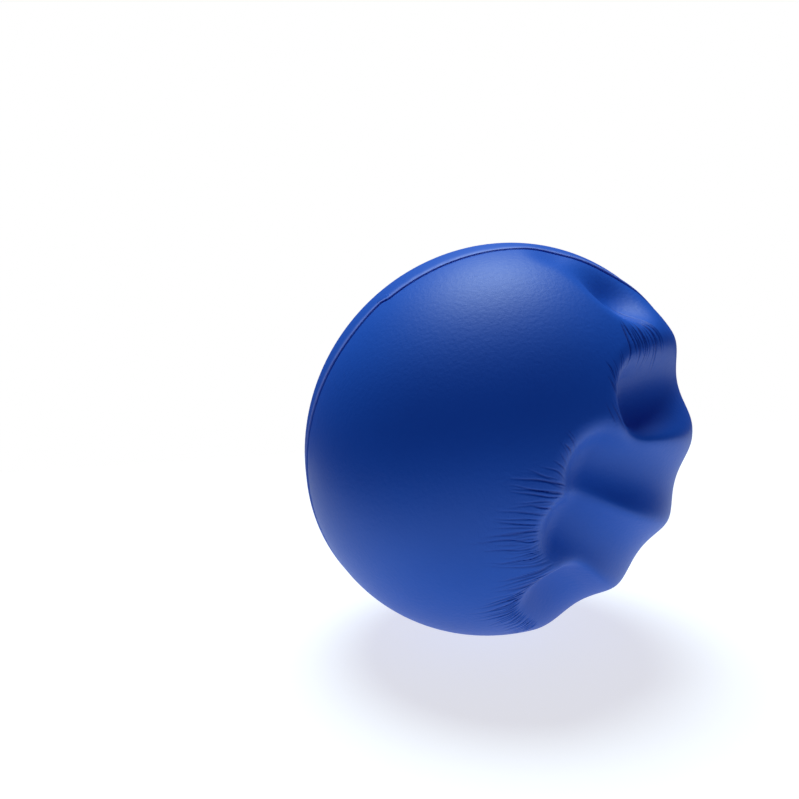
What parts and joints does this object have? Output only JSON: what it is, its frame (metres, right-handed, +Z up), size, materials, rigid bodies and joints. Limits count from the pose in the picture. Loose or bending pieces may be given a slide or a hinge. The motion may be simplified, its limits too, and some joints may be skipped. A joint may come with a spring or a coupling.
{
  "type": "stress ball",
  "caption": "Soft foam squeeze ball with a satin painted skin and a mould parting line, half squeezed, with five digit hollows; it springs back to a round ball when let go.",
  "frame": {"origin": "centre of the round ball, where a palm and five digits close round it", "axes": "+Y out of the back half, square to the parting plane; +X right and +Z up as the front half is seen"},
  "size_m": [0.0706, 0.07, 0.0706],
  "materials": {
    "foam": "open-cell flexible polyurethane foam, matt",
    "skin": "dense integral skin of the same foam, matt",
    "coat": "elastic blue polyurethane paint, satin"
  },
  "bodies": {
    "palm_side": {"foam_core": "foam", "back_skin": "skin", "back_coat": "coat", "parting_flash": "coat", "gate_stub": "coat"},
    "finger_side": {"front_skin": "skin", "front_coat": "coat"}
  },
  "joints": [
    {"name": "squeeze", "type": "slide", "parent": "palm_side", "child": "finger_side", "axis": [-0.7001, 0.7001, -0.14], "range_m": [-0.009, 0.005], "stiffness_N_per_m": 3000, "springref_m": -0.009, "deforming": ["foam_core", "front_skin", "front_coat"]}
  ]
}
